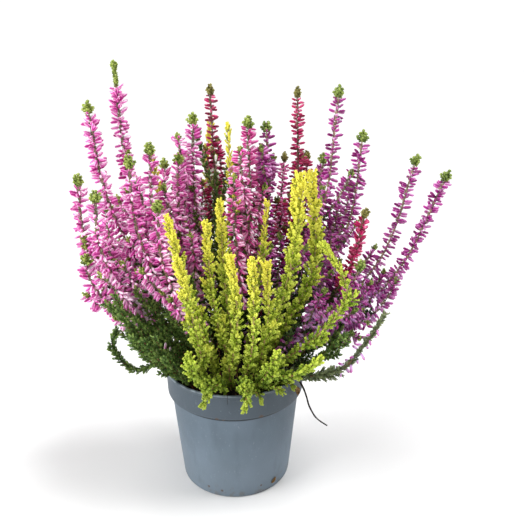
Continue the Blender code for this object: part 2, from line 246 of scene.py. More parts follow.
# Pot. A thin nursery pot, moulded in one piece from reground grey plastic: a slightly tapered wall, a tall
# collar with a thin lip to lift it by, and slots in its floor that let the water out.
POT_TOP = 107
RIM_RADIUS = 60
LIP_RADIUS = 60.8
LIP_HEIGHT = 2.2
LIP_SLOPE = 0.8
LIP_TOP_ROUND = 0.7
LIP_FOOT_ROUND = 0.4
RIM_INSIDE_ROUND = 0.5
COLLAR_FOOT = 84
COLLAR_FOOT_RADIUS = 59.2
COLLAR_ROUND = 0.6
BODY_TOP_RADIUS = 56
BASE_RADIUS = 48
BASE_ROUND = 1.6
WALL = 1.2
POT_FLOOR = 1.6
FLOOR_ROUND = 0.6
POT_STEPS = 144
SLOTS = 6
SLOT_RING = 36
SLOT_LENGTH = 9
SLOT_WIDTH = 3.2


def spun(profile, steps):
    """A shell turned from a profile of (radius, height) in millimetres, with both ends on the axis."""
    bm = bmesh.new()
    verts = [bm.verts.new((radius * MM, 0, height * MM)) for radius, height in profile]
    edges = [bm.edges.new(pair) for pair in zip(verts, verts[1:])]
    bmesh.ops.spin(bm, geom=verts + edges, axis=(0, 0, 1), cent=(0, 0, 0), steps=steps, angle=math.tau,
                   use_merge=True)
    bmesh.ops.remove_doubles(bm, verts=bm.verts, dist=0.001 * MM)
    bmesh.ops.recalc_face_normals(bm, faces=bm.faces)
    return bm


def round_off(bm, corner, size, segments=3):
    """Rounds the ring of edges at a corner of the profile."""
    radius, height = (part * MM for part in corner)

    def on_corner(vert):
        return abs(vert.co.xy.length - radius) < 0.01 * MM and abs(vert.co.z - height) < 0.01 * MM

    edges = [edge for edge in bm.edges if all(on_corner(vert) for vert in edge.verts)]
    bmesh.ops.bevel(bm, geom=edges, offset=size * MM, segments=segments, profile=0.5, affect="EDGES",
                    material=-1)


def applied(item):
    """An object's mesh as its modifiers or its curve settings make it."""
    return bpy.data.meshes.new_from_object(item.evaluated_get(bpy.context.evaluated_depsgraph_get()))


pot_inside = [(0, POT_FLOOR), (BASE_RADIUS - WALL, POT_FLOOR), (BODY_TOP_RADIUS - WALL, COLLAR_FOOT - WALL),
              (COLLAR_FOOT_RADIUS - WALL, COLLAR_FOOT + WALL), (RIM_RADIUS - WALL, POT_TOP)]
pot_outside = [(LIP_RADIUS, POT_TOP), (LIP_RADIUS, POT_TOP - LIP_HEIGHT),
               (RIM_RADIUS, POT_TOP - LIP_HEIGHT - LIP_SLOPE), (COLLAR_FOOT_RADIUS, COLLAR_FOOT),
               (BODY_TOP_RADIUS, COLLAR_FOOT), (BASE_RADIUS, 0), (0, 0)]
bm = spun(pot_inside + pot_outside, POT_STEPS)
round_off(bm, (BASE_RADIUS - WALL, POT_FLOOR), FLOOR_ROUND)
round_off(bm, (RIM_RADIUS - WALL, POT_TOP), RIM_INSIDE_ROUND)
round_off(bm, (LIP_RADIUS, POT_TOP), LIP_TOP_ROUND)
round_off(bm, (LIP_RADIUS, POT_TOP - LIP_HEIGHT), LIP_FOOT_ROUND)
round_off(bm, (COLLAR_FOOT_RADIUS, COLLAR_FOOT), COLLAR_ROUND)
round_off(bm, (BASE_RADIUS, 0), BASE_ROUND, 4)

plastic = Finish("pot_plastic", Specular_IOR_Level=0.35)
pot = piece("nursery_pot", bm, plastic)

slots = bmesh.new()
for turn in range(SLOTS):
    made = bmesh.ops.create_cone(slots, cap_ends=True, segments=24, radius1=0.5, radius2=0.5, depth=1)
    around = Matrix.Rotation(math.tau * (turn + 0.5) / SLOTS, 4, "Z")
    outward = Matrix.Translation((SLOT_RING * MM, 0, POT_FLOOR / 2 * MM))
    size = Matrix.Diagonal((SLOT_LENGTH * MM, SLOT_WIDTH * MM, 4 * POT_FLOOR * MM, 1))
    bmesh.ops.transform(slots, matrix=around @ outward @ size, verts=made["verts"])
cutter = piece("slot_cutter", slots)
cut = pot.modifiers.new("slots", "BOOLEAN")
cut.object = cutter
cut_mesh = applied(pot)
pot.modifiers.clear()
pot.data = cut_mesh
bpy.data.objects.remove(cutter)

# The plastic is cloudy and finely grained, with stains and pale scuffs, and painted light and shade on it
height = plastic.coordinate("Z")
cloudy = plastic.clouds(34, 3, (1, 1, 0.6))
grey = plastic.ramp(cloudy, (0.3, rgb(78, 91, 102)), (0.5, rgb(88, 102, 114)), (0.72, rgb(99, 113, 126)))
# Painted light: the lower body is painted lighter.
grey = plastic.mixed(grey, rgb(128, 142, 154), plastic.rise(height, 70, 6) * 0.4)
stain = plastic.rise(plastic.clouds(11, 4, (1, 1, 0.35)), 0.5, 0.72) * 0.28
grey = plastic.mixed(grey, rgb(72, 84, 94), stain)
# Painted shade: the collar is painted darker, as the crown's shadow on it.
grey = plastic.mixed(grey, rgb(54, 63, 71), plastic.rise(height, 83, 86) * 0.72)
rubbed = plastic.rise(plastic.clouds(1.6, 4, (1, 1, 0.5)), 0.64, 0.72) * 0.2
grey = plastic.mixed(grey, rgb(150, 161, 169), rubbed)
# Painted highlight: a pale, patchy line along the top of the lip.
lip_highlight = plastic.rise(height, 105.2, 106.6) * plastic.rise(plastic.clouds(9), 0.35, 0.6) * 0.55
grey = plastic.mixed(grey, rgb(140, 152, 160), lip_highlight)
# Painted shadow: a dark band just under the collar's overhang. Soil specks also lie in it.
shadow_and_dirt_under_collar = plastic.rise(height, 85.1, 84.2) * plastic.rise(height, 80.6, 81.6)
grey = plastic.mixed(grey, rgb(20, 22, 25), shadow_and_dirt_under_collar * 0.95)
dirt = plastic.rise(height, 16, 0) * plastic.rise(plastic.clouds(7, 4), 0.52, 0.66) * 0.4
dirt = dirt + shadow_and_dirt_under_collar * plastic.rise(plastic.clouds(12, 3), 0.6, 0.66) * 0.8
grey = plastic.mixed(grey, rgb(98, 82, 64), dirt)
# Spots of dried soil: where each is, and how wide
SOIL_MARKS = [((-21.8, -42.8, 8.1), 2.4), ((-10.6, -47.2, 6.7), 2.0), ((22.7, -43, 8.6), 1.8),
              ((-12.3, -58.4, 84), 3.2), ((22.8, -54, 84.4), 3.6), ((24, -55, 97), 1.8),
              ((52, -28, 80), 1.5), ((30.1, -50, 83.3), 1.2), ((-4.3, -58, 83.1), 1.3), ((40, -28, 20), 1.6)]
for mark, width in SOIL_MARKS:
    near = plastic.node("VectorMath", {"operation": "LENGTH"}, {0: plastic.place(mark)}, "Value")
    ragged = near + plastic.clouds(1.1, 3) * 2.2 - 1.1
    grey = plastic.mixed(grey, rgb(84, 62, 44), plastic.rise(ragged, width * 0.75, width * 0.35) * 0.85)
# A thin line down the front of the collar, left by the mould
notch = plastic.coordinate("X", (-3.4, -60, 103.5))
notch = plastic.rise(notch * notch, 0.16, 0.02) * plastic.rise(height, 98.5, 100)
front = plastic.coordinate("Y")
notch = notch * plastic.rise(front, -55, -57)
grey = plastic.mixed(grey, rgb(44, 48, 52), notch * 0.8)
plastic.paint(grey)
plastic.gloss(plastic.rise(cloudy, 0.2, 0.8) * 0.12 + 0.5)
plastic.bump(plastic.clouds(0.5, 2) * 0.5 + plastic.clouds(14, 2, (1, 1, 0.3)) - notch * 1.2, 0.25)
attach(pot, "root")
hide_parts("pot")

# Soil. Dark peat with bark and a few grains of white perlite, heaped a little round the stems. It is poured
# in loose, so its top is a crumbly crust with separate crumbs lying on it.
SOIL_EDGE = 99
SOIL_DEPTH = 12
SOIL_DOME = 2
CRUST_SUNK = 1
SOIL_RADIUS = 57.6
SOIL_RINGS = 20
SOIL_ROUGHNESS = 1.6
CRUMBS = 500

soil_profile = [(0, SOIL_EDGE - SOIL_DEPTH), (SOIL_RADIUS - 1, SOIL_EDGE - SOIL_DEPTH)]
for ring in range(SOIL_RINGS, -1, -1):
    share = ring / SOIL_RINGS
    soil_profile.append((SOIL_RADIUS * share, SOIL_EDGE - CRUST_SUNK + SOIL_DOME * (1 - share ** 2)))
bm = spun(soil_profile, 96)
for vert in bm.verts:
    if vert.co.z > (SOIL_EDGE - 2) * MM and vert.co.xy.length < (SOIL_RADIUS - 1) * MM:
        rough = noise.noise(vert.co / (6 * MM)) + 0.6 * noise.noise(vert.co / (2.2 * MM))
        vert.co.z += SOIL_ROUGHNESS * MM * rough * 0.6

peat = Finish("potting_soil", Specular_IOR_Level=0.2)
grain = peat.clouds(1.2, 5)
peat.paint(peat.ramp(grain, (0.25, rgb(14, 11, 9)), (0.5, rgb(34, 26, 20)), (0.8, rgb(70, 54, 40))))
peat.gloss(0.95)
peat.bump(grain + peat.clouds(0.4, 3) * 0.4, 0.9)
soil = piece("peat", bm, peat)

dice = random.Random(11)
bm = bmesh.new()
tone_layer = bm.verts.layers.float.new("tone")
for _ in range(CRUMBS):
    radius = SOIL_RADIUS * 0.97 * math.sqrt(dice.random())
    turn = dice.uniform(0, math.tau)
    size = dice.choice((0.5, 0.6, 0.8, 1.1, 1.5))
    top = SOIL_EDGE - CRUST_SUNK + SOIL_DOME * (1 - (radius / SOIL_RADIUS) ** 2)
    at = Matrix.Translation((radius * math.cos(turn) * MM, radius * math.sin(turn) * MM,
                             (top + size * 0.4) * MM))
    axis = (dice.gauss(0, 1), dice.gauss(0, 1), dice.gauss(0, 1))
    lie = Quaternion(axis, dice.uniform(0, 3)).to_matrix().to_4x4()
    form = Matrix.Diagonal((size * dice.uniform(0.8, 2.0) * MM, size * MM,
                            size * dice.uniform(0.5, 1) * MM, 1))
    made = bmesh.ops.create_icosphere(bm, subdivisions=1, radius=1, matrix=at @ lie @ form)
    tone = dice.random()
    for vert in made["verts"]:
        vert[tone_layer] = tone
crumb = Finish("soil_crumb", Specular_IOR_Level=0.2)
tone = crumb.attribute("tone")
crumb.paint(crumb.ramp(tone, (0.0, rgb(16, 12, 10)), (0.6, rgb(46, 34, 26)), (0.93, rgb(92, 68, 48)),
                       (0.97, rgb(196, 188, 172))))
crumb.gloss(0.95)
crumb.bump(crumb.clouds(0.5, 3), 0.4)
crumbs = piece("soil_crumbs", bm, crumb)
for item in (soil, crumbs):
    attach(item, "root")
    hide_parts("soil")

# Pink heather, the flowering kind with the most stems in the pot. They are woody and stand in the soil, thick
# with short leafy shoots low down. Above is a long spike of buds that never open, and a green tuft of leaves.
FOOT_SUNK = 7
LINE_STEP = 1.5
BOX_MARGIN = 1.2
BRANCH_MARGIN = 4
BRANCH_TRIES = 12
STRAY_BUDS = 5
WOOD_SHORT = 4
STEM_THICK = 1.1
STEM_THIN = 0.5
BRANCH_THICK = 0.55
OFFSHOOT_THICK = 0.6
BRANCH_THIN = 0.3
TUFT_FULL = 9.5
TUFT_LEVELS = ((0.0, 32), (0.16, 20), (0.3, 6))
LAYERS = ("along", "crest", "tone", "ripe")
WOOD, LEAF, BUD, TUFT, BRACT = range(5)


def in_order(verts):
    """The places of a set of points, always in the same order, so that each run adds them up alike."""
    return [vert.co.copy() for vert in sorted(verts, key=lambda vert: vert.index)]


def middle_line(node):
    """The middle of a stem's solid, ring by ring from the soil up to its tip."""
    bm = bmesh.new()
    bm.from_mesh(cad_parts[node].data)
    bmesh.ops.remove_doubles(bm, verts=bm.verts, dist=0.02 * MM)
    bm.verts.index_update()
    core = {vert for vert in bm.verts if len(vert.link_edges) > 3}
    inside = [vert for vert in core if vert.co.xy.length < (RIM_RADIUS - 3) * MM]
    lowest = min(vert.co.z for vert in inside)
    ring = {vert for vert in inside if vert.co.z < lowest + MM}
    seen = set(ring)
    line = []
    while ring:
        last = ring
        ring = {edge.other_vert(vert) for vert in last for edge in vert.link_edges} & core - seen
        seen |= ring
        if ring:
            line.append(sum(in_order(ring), Vector()) / len(ring))
    tip = set.intersection(*[{edge.other_vert(vert) for edge in vert.link_edges} for vert in last]) - core
    line += in_order(tip)
    bm.free()
    return line


class Stem:
    """A smooth line with a way ahead and a side at every point. Its lengths are in millimetres."""

    def __init__(self, knots):
        self.points = self.smoothed(np.array([tuple(knot) for knot in knots]) / MM)
        self.step = (self.points[1] - self.points[0]).length
        self.length = self.step * (len(self.points) - 1)
        self.ways = [(ahead - point).normalized() for point, ahead in zip(self.points, self.points[1:])]
        self.ways.append(self.ways[-1])
        self.sides = [self.ways[0].orthogonal().normalized()]
        for way in self.ways[1:]:
            self.sides.append((self.sides[-1] - way * way.dot(self.sides[-1])).normalized())

    def smoothed(self, knots):
        """Even points along a smooth curve through the knots."""
        knots = [2 * knots[0] - knots[1], *knots, 2 * knots[-1] - knots[-2]]
        shares = np.linspace(0, 1, 8, endpoint=False)[:, None]
        curve = []
        for a, b, c, d in zip(knots, knots[1:], knots[2:], knots[3:]):
            bend = 2 * a - 5 * b + 4 * c - d + shares * (3 * (b - c) + d - a)
            curve.append(b + 0.5 * shares * (c - a + shares * bend))
        curve = np.vstack(curve + [knots[-2]])
        along = np.concatenate([[0], np.cumsum(np.linalg.norm(np.diff(curve, axis=0), axis=1))])
        places = np.linspace(0, along[-1], max(3, round(along[-1] / LINE_STEP) + 1))
        return [Vector(point) for point in np.stack([np.interp(places, along, part) for part in curve.T], 1)]

    def at(self, along):
        place = min(max(along / self.step, 0), len(self.points) - 1.001)
        index = int(place)
        point = self.points[index].lerp(self.points[index + 1], place - index)
        return point, self.ways[index], self.sides[index]


def standing(stem, along, turn, lean, out=0.0, size=1.0):
    """Where a small shape stands on a stem: at a turn round it, leaning away from it, out from its middle."""
    point, way, side = stem.at(along)
    outward = Quaternion(way, turn) @ side
    up = way * math.cos(lean) + outward * math.sin(lean)
    face = outward * math.cos(lean) - way * math.sin(lean)
    turned = Matrix((face, up.cross(face), up)).transposed().to_4x4()
    return Matrix.Translation(point + outward * out) @ turned @ Matrix.Scale(size, 4)


def in_box(point, margin):
    """Whether a point in millimetres is inside the CAD's box by a margin."""
    return all(low / MM + margin < part < high / MM - margin for part, low, high in zip(point, *cad_box))


def put(bm, shape, place, tone, ripe):
    """Adds a copy of a small shape, and gives its points how light it is and how high up the stem."""
    before = len(bm.verts)
    bm.from_mesh(shape)
    bm.verts.ensure_lookup_table()
    tone_layer, ripe_layer = (bm.verts.layers.float[name] for name in ("tone", "ripe"))
    for vert in bm.verts[before:]:
        vert.co = place @ vert.co
        vert[tone_layer] += tone
        vert[ripe_layer] = ripe


def new_growth():
    bm = bmesh.new()
    for name in LAYERS:
        bm.verts.layers.float.new(name)
    return bm


def shape_from(bm, part=None):
    """Keeps a small shape to copy from, with how far it reaches along z."""
    for face in bm.faces:
        face.smooth = True
        if part is not None:
            face.material_index = part
    mesh = bpy.data.meshes.new("shape")
    bm.to_mesh(mesh)
    bm.free()
    mesh["reach"] = max(vert.co.z for vert in mesh.vertices)
    return mesh


def ball_shape(profile, sides, lobes=1.0, flat=1.0, part=LEAF):
    """A small closed shape along z, from a ball whose rings take the profile's (height, radius)."""
    bm = new_growth()
    bmesh.ops.create_uvsphere(bm, u_segments=sides, v_segments=len(profile) - 1, radius=1)
    bottom, top = profile[0][0], profile[-1][0]
    along_layer, crest_layer = (bm.verts.layers.float[name] for name in ("along", "crest"))
    for vert in bm.verts:
        ring = round((1 - math.acos(min(max(vert.co.z, -1), 1)) / math.pi) * (len(profile) - 1))
        height, radius = profile[ring]
        outward = vert.co.xy.normalized() if radius else Vector((0, 0))
        in_fold = round(math.atan2(outward.y, outward.x) / (math.tau / sides)) % 2
        lobe = lobes if in_fold else 1
        vert.co = (outward.x * radius * lobe * flat, outward.y * radius * lobe, height)
        vert[along_layer] = (height - bottom) / (top - bottom)
        # Ridges are marked 1 and folds 0. On buds the ridges get a pale rib, partly painted highlight, and
        # the folds painted shade.
        vert[crest_layer] = 0 if in_fold and radius else 1
    return shape_from(bm, part)


def scale_shape(length, width, flat, part=LEAF):
    """A scale leaf: three-sided, broad where it clasps the stem and pointed at its end."""
    bm = new_growth()
    bmesh.ops.create_cone(bm, cap_ends=True, segments=3, radius1=width / 2, radius2=0, depth=length,
                          matrix=Matrix.Translation((0, 0, length / 2)))
    bmesh.ops.remove_doubles(bm, verts=bm.verts, dist=0.001)
    bmesh.ops.transform(bm, matrix=Matrix.Diagonal((flat, 1, 1, 1)), verts=bm.verts)
    along_layer, crest_layer = (bm.verts.layers.float[name] for name in ("along", "crest"))
    for vert in bm.verts:
        vert[along_layer] = vert.co.z / length
        vert[crest_layer] = 1
    return shape_from(bm, part)


def sprig_shape(leaf, pairs, pitch, leans, sizes, dice, part=LEAF):
    """A short shoot along z, closed by scale leaves in pairs, each pair a quarter turn on from the last."""
    axis = Stem([Vector((0, 0, 0)), Vector((0, 0, (pairs + 1) * pitch * MM))])
    bm = new_growth()
    for pair in range(pairs):
        share = pair / max(pairs - 1, 1)
        lean = leans[0] + (leans[1] - leans[0]) * share
        size = sizes[0] + (sizes[1] - sizes[0]) * share
        for half in (0, math.pi):
            turn = pair * math.pi / 2 + half + dice.gauss(0, 0.15)
            place = standing(axis, pair * pitch, turn, math.radians(lean + dice.gauss(0, 6)), 0.15, size)
            # Painted light and shade: pairs higher up the shoot are painted lighter, lower ones darker.
            put(bm, leaf, place, dice.uniform(-0.12, 0.12) + 0.3 * share - 0.1, 0)
    return shape_from(bm, part)


def bud_of(length, radius, stalk):
    """A closed blunt bud. Its foot narrows to a stalk, with a small scale leaf beside it."""
    body = ball_shape([(-stalk, 0), (length * 0.24, radius), (length * 0.8, radius * 0.9), (length, 0)], 5,
                      lobes=0.84, part=BUD)
    bm = new_growth()
    bm.from_mesh(body)
    foot = Stem([Vector((0, 0, -stalk * MM)), Vector((0, 0, length * MM))])
    put(bm, bract_leaf, standing(foot, stalk * 0.6, 0.4, math.radians(16), 0.2), 0, 0)
    return shape_from(bm)


def round_curve(name, thick, resolution):
    """A curve whose lines become round stems."""
    curve = bpy.data.curves.new(name, "CURVE")
    curve.dimensions = "3D"
    curve.bevel_depth = thick
    curve.bevel_resolution = resolution
    curve.use_fill_caps = True
    return curve


def tube_mesh(curve):
    holder = bpy.data.objects.new(curve.name + "_line", curve)
    scene.collection.objects.link(holder)
    tube = applied(holder)
    bpy.data.objects.remove(holder)
    return tube


shape_dice = random.Random(5)
bract_leaf = scale_shape(2.6, 1.9, 0.6, BRACT)
scale_leaf = scale_shape(2.0, 2.1, 0.6)
sprigs = [sprig_shape(scale_leaf, pairs, 1.05, (44, 12), (1.0, 0.9), shape_dice) for pairs in (3, 3, 4)]
broad_leaf = scale_shape(2.6, 2.7, 0.55)
broad_sprigs = [sprig_shape(broad_leaf, 3, 1.4, (46, 12), (1.0, 0.85), shape_dice) for _ in range(3)]
tip_leaf = ball_shape([(0, 0), (1.6, 1.3), (2.5, 0)], 3, flat=0.85)
tuft_sprigs = [sprig_shape(tip_leaf, 3, 1.5, (24, 4), (1.0, 0.95), shape_dice, TUFT) for _ in range(3)]


class Plant:
    """One stem of the CAD, or the lower share of it, with all that grows on it, gathered into one mesh."""

    def __init__(self, node, name, share=1):
        self.node = node
        self.name = name
        self.dice = random.Random(name)
        line = middle_line(node)
        line = line[:round(len(line) * share)]
        self.stem = Stem([line[0] - Vector((0, 0, FOOT_SUNK * MM)), *line])
        self.bm = new_growth()
        self.curve = round_curve(name, 1.0, 1)
        self.wood(self.stem, STEM_THICK, STEM_THIN)

    def wood(self, stem, thick, thin):
        """A woody stem, thinner towards its tip, which stays short of the leaves round it."""
        end = max(len(stem.points) - WOOD_SHORT, 2)
        points = stem.points[:end:3] + stem.points[end:end + 1]
        line = self.curve.splines.new("POLY")
        line.points.add(len(points) - 1)
        for index, (made, point) in enumerate(zip(line.points, points)):
            made.co = (*point, 1)
            made.radius = thick + (thin - thick) * index / (len(points) - 1)

    def grow(self, shape, place, tone, ripe):
        """Sets a small shape on the plant, unless it would reach out of the CAD's box."""
        if in_box(place @ Vector((0, 0, shape["reach"])), BOX_MARGIN):
            put(self.bm, shape, place, tone, ripe)

    def branch(self, along, lean, length, upturn):
        """A side stem that leaves at an angle, to the side that has room, and bends up beside its parent."""
        point, way, side = self.stem.at(along)
        steps = max(3, round(length / 8))
        for _ in range(BRANCH_TRIES):
            outward = Quaternion(way, self.dice.uniform(0, math.tau)) @ side
            start = way * math.cos(lean) + outward * math.sin(lean)
            knots = [point]
            for step in range(steps):
                share = (step + 1) / steps
                heading = start.lerp(way, upturn * share).normalized()
                knots.append(knots[-1] + heading * (length / steps))
            if in_box(knots[-1], BRANCH_MARGIN):
                break
            length *= 0.92
        made = Stem([knot * MM for knot in knots])
        self.wood(made, BRANCH_THICK, BRANCH_THIN)
        return made

    def side_stems(self, count, zone, lengths, leans, upturn=0.8):
        """Side stems, each from somewhere in a zone of the stem, with the length that was asked of it."""
        for _ in range(count):
            along = self.dice.uniform(*zone)
            length = self.dice.uniform(*lengths)
            yield self.branch(along, math.radians(self.dice.uniform(*leans)), length, upturn), length

    def offshoot(self, places):
        """A side stem through places in millimetres, from the nearest point of the main stem."""
        places = [Vector(place) for place in places]
        start = min(self.stem.points, key=lambda point: (point - places[0]).length)
        made = Stem([place * MM for place in (start, *places)])
        self.wood(made, OFFSHOOT_THICK, BRANCH_THIN)
        return made

    def shoots(self, stem, start, end, pitch, lean=(30, 58), size=(0.8, 1.25), kinds=None):
        """Short leafy shoots in pairs up the stem."""
        along, turn = start, self.dice.uniform(0, math.tau)
        while along < end:
            for half in (0, math.pi):
                tilt = math.radians(self.dice.uniform(*lean))
                around = turn + half + self.dice.gauss(0, 0.4)
                place = standing(stem, along + self.dice.uniform(-0.5, 0.5) * pitch, around, tilt, 0.4,
                                 self.dice.uniform(*size))
                self.grow(self.dice.choice(kinds or sprigs), place, self.dice.uniform(0.2, 0.8),
                          along / stem.length)
            along += pitch * self.dice.uniform(0.8, 1.2)
            turn += math.pi / 2 + self.dice.gauss(0, 0.2)

    def buds(self, stem, start, end, habit):
        """Buds up a spike, in pairs or in pairs of clusters. They get smaller and more upright upwards."""
        along, turn = start, self.dice.uniform(0, math.tau)
        low, high = (math.radians(angle) for angle in habit["lean"])
        while along < end:
            ripe = (along - start) / (end - start)
            full = min(1, 0.6 + (along - start) / 12) * min(1, 0.74 + (end - along) / habit["taper"])
            for half in (0, math.pi):
                count = self.dice.choice(habit["cluster"])
                lean = low + (high - low) * ripe + self.dice.gauss(0, 0.16)
                around = turn + half + self.dice.gauss(0, 0.25)
                for _ in range(count):
                    loose = habit["loose"] if count > 1 else 0.3
                    foot = along + self.dice.gauss(0, 1.5 * loose)
                    place = standing(stem, foot, around + self.dice.gauss(0, 0.5 * loose),
                                     lean + self.dice.gauss(0, 0.26 * loose), habit["out"],
                                     full * self.dice.uniform(*habit["size"]))
                    self.grow(habit["bud"], place, self.dice.random(), ripe)
            along += habit["pitch"] * self.dice.uniform(0.75, 1.25) * (0.7 + 0.3 * full)
            turn += math.pi / 2 + self.dice.gauss(0, 0.25)

    def tuft(self, stem, start, end, width, counts=(5, 4, 2), head=12):
        """The green tip: a blunt head of upright shoots, over a scaly column where the tip is long."""
        head = min(end - start, head)
        if end - start > head + 2:
            self.shoots(stem, start, end - head + 2, 1.7, (12, 24), (0.85, 1.0), tuft_sprigs)
        foot = end - head
        turn = self.dice.uniform(0, math.tau)
        for level, ((share, lean), count) in enumerate(zip(TUFT_LEVELS, counts)):
            for index in range(count):
                tilt = math.radians(lean * width + self.dice.gauss(0, 4))
                around = turn + math.tau * (index + 0.5 * level) / count + self.dice.gauss(0, 0.2)
                size = head / TUFT_FULL * self.dice.uniform(0.85, 1.05)
                place = standing(stem, foot + head * share, around, tilt, 0.4, size)
                self.grow(self.dice.choice(tuft_sprigs), place, self.dice.uniform(0.15, 0.85), level / 2)

    def pressed_leaves(self, stem, start, end, pitch):
        """Small grey-green leaves that lie close on the stem between its buds."""
        along, turn = start, 0.0
        while along < end:
            for half in (0, math.pi):
                place = standing(stem, along, turn + half, math.radians(self.dice.uniform(14, 44)), 0.4,
                                 self.dice.uniform(0.7, 1.3))
                self.grow(bract_leaf, place, self.dice.uniform(0, 0.6), along / stem.length)
            along += pitch
            turn += math.pi / 2

    def spike(self, side, bare, habit):
        """A side stem's own spike of buds, above a few shoots."""
        length = side.length
        self.shoots(side, 2, bare + 3, 2.2, size=(0.7, 1.0))
        self.buds(side, bare, length - 6, habit)
        self.pressed_leaves(side, bare, length - 5, 3.2)
        self.tuft(side, length - 9, length, 0.9, habit["side_tuft"])

    def flowering(self, habit):
        """A whole flowering stem: shoots low down, side spikes, the main spike, and the tuft."""
        stem, dice = self.stem, self.dice
        foot = FOOT_SUNK + 3
        top = stem.length - habit["tuft"]
        spike = top - habit["flowers"] * stem.length
        self.shoots(stem, foot, spike, habit["shoot_pitch"])
        for _ in range(STRAY_BUDS):
            along = dice.uniform(spike - 32, spike)
            place = standing(stem, along, dice.uniform(0, math.tau), math.radians(dice.uniform(105, 140)),
                             dice.uniform(2.5, 4), dice.uniform(0.8, 1.0))
            self.grow(habit["bud"], place, dice.random(), 0)
        zone = (spike - 22, spike + (top - spike) * habit["zone"])
        for side, length in self.side_stems(habit["branches"], zone, habit["branch_length"], (20, 34)):
            self.spike(side, length * 0.22, habit)
        low = (foot + 2, spike)
        for side, _ in self.side_stems(habit["twigs"], low, habit["twig_length"], (26, 46), 0.7):
            self.shoots(side, 2, side.length - 1, 2.5, size=(0.8, 1.15), kinds=broad_sprigs)
        self.buds(stem, spike, top + 1, habit)
        self.pressed_leaves(stem, spike, top + 3, 2.6)
        self.tuft(stem, top + 2, stem.length - 0.5, habit["tuft_width"], head=habit["head"])
        for places in habit.get("offshoots", ()):
            self.spike(self.offshoot(places), habit["offshoot_bare"], habit)

    def done(self, slot, *finishes):
        """Makes the gathered growth a piece that stands for the stem's node."""
        self.bm.from_mesh(tube_mesh(self.curve))
        bmesh.ops.transform(self.bm, matrix=Matrix.Scale(MM, 4), verts=self.bm.verts)
        made = piece(self.name, self.bm, *finishes)
        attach(made, "root")
        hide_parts(self.node)


def wood_finish(name, young, old):
    """Bark that is brown low down, and the colour of the young stem towards the tip."""
    finish = Finish(name, Specular_IOR_Level=0.3)
    bark = finish.clouds(2.5, 3, (1, 1, 0.3))
    height = finish.coordinate("Z")
    colour = finish.mixed(old, young, finish.rise(height, 110, 190))
    finish.paint(finish.mixed(colour, rgb(70, 50, 38), finish.rise(bark, 0.5, 0.8) * 0.5))
    finish.gloss(0.75)
    finish.bump(bark, 0.3)
    return finish


def leaf_finish(name, dark, middle, light, top=None):
    """Scale leaves, each a little different, with painted shade at their feet and painted light at their
    tips, and painted shade on those low on the plant. The leaves at the top of a stem may have a colour of
    their own."""
    finish = Finish(name, Specular_IOR_Level=0.35)
    along = finish.attribute("along")
    tone = finish.attribute("tone") * 0.75 + finish.clouds(9) * 0.25
    # Painted light and shade: lighter towards each leaf's tip, darker at its foot.
    lit = tone + along * 0.45 - 0.16
    colour = finish.ramp(lit, (0.1, dark), (0.5, middle), (0.95, light))
    height = finish.coordinate("Z")
    # Painted shade: leaves low on the plant, inside the crown, are painted darker.
    colour = finish.mixed(colour, dark, finish.rise(height, 150, 104) * 0.42)
    if top:
        young = finish.rise(finish.attribute("ripe"), 0.45, 1.0) * finish.rise(lit, 0.2, 0.6)
        young = young * (finish.rise(height, 110, 220) * 0.6 + 0.4)
        colour = finish.mixed(colour, top, young)
    finish.paint(colour)
    finish.gloss(0.55)
    finish.bump(finish.clouds(0.6, 2), 0.2)
    return finish


def bud_finish(name, stalk, deep, middle, light, low=None, rib_highlight=0.55):
    """Buds: deep colour in the folds as painted shade, and at the tip. A pale rib down each sepal is partly
    its own paler colour and partly a painted highlight, the foot is a little deeper as painted shade, and the
    stalk is green. Low on the plant and on each spike, where they age, they may be paler at the foot."""
    finish = Finish(name, Specular_IOR_Level=0.45)
    along = finish.attribute("along")
    tone = finish.attribute("tone")
    # Painted light and shade: pale ribs as a painted highlight, partly the sepals' own colour, deep folds and
    # a deeper foot as painted shade.
    shade = finish.attribute("crest") * rib_highlight + (tone - 0.5) * 0.5 + along * 0.15
    colour = finish.ramp(shade, (0.08, deep), (0.4, middle), (0.8, light))
    if low:
        height = finish.coordinate("Z")
        age = finish.attribute("ripe") * 0.5 + finish.rise(height, 140, 230) * 0.5
        aged = finish.rise(age, 0.6, 0.1) * finish.rise(along, 0.9, 0.45)
        colour = finish.mixed(colour, low, aged * finish.rise(tone, -0.3, 0.5) * 0.85)
    colour = finish.mixed(colour, deep, finish.rise(along, 0.82, 1.0) * 0.6)
    finish.paint(finish.mixed(stalk, colour, finish.rise(along, 0.1, 0.3)))
    finish.gloss(0.36)
    finish.bump(finish.clouds(0.7, 2), 0.15)
    return finish


def heather(kind, number, habit, *finishes):
    """Grows one flowering stem of a kind by its habit."""
    plant = Plant(f"{kind}_heather_{number:02d}", f"{kind}_spray_{number:02d}", habit.get("share", 1))
    plant.flowering(habit)
    plant.done(f"{kind}_heather", *finishes)


